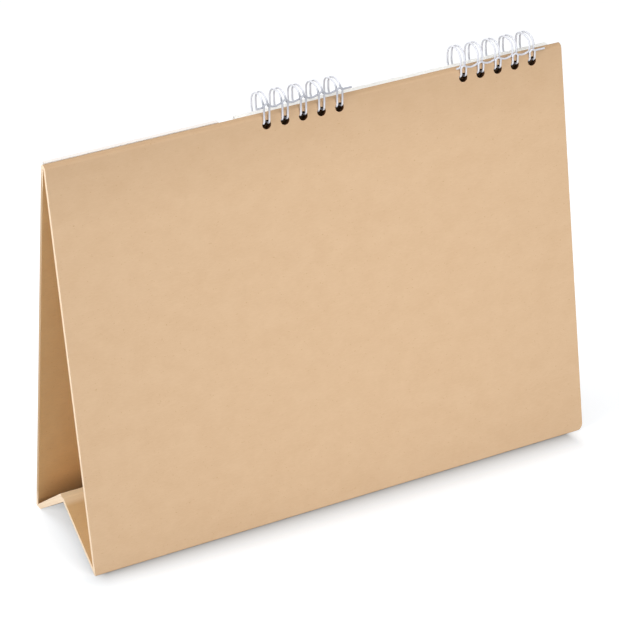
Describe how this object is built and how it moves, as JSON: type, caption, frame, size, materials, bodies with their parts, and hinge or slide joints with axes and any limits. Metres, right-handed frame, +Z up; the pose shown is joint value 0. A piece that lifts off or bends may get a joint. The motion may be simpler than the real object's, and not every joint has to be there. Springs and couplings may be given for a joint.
{
  "type": "desk calendar with memo pad",
  "caption": "Free-standing desk calendar: a folded brown card easel with an inverted-V base, calendar sheets hung on two white twin-loop wires, and a glued note block beside them.",
  "frame": {"origin": "centre of the footprint, on the surface that the easel stands on", "axes": "+X along the ridge towards the note block's end, +Y from the front with the calendar towards the plain back, +Z up"},
  "size_m": [0.24, 0.0618, 0.1863],
  "materials": {
    "brown_board": "matt unbleached brown board with cream cut edges",
    "white_coated_wire": "satin white nylon coating on steel wire",
    "calendar_paper": "smooth matt white paper",
    "note_paper": "uncoated white paper"
  },
  "bodies": {
    "easel": {"stand": "brown_board", "inner_binding_wire": "white_coated_wire", "outer_binding_wire": "white_coated_wire", "memo_pad": "note_paper"},
    "calendar": {"calendar_pad": "calendar_paper"}
  },
  "joints": [
    {"name": "calendar_turn", "type": "hinge", "parent": "easel", "child": "calendar", "pos_m": [0, -0.00327, 0.17935], "axis": [-1, 0, 0], "range_deg": [0, 200]}
  ]
}
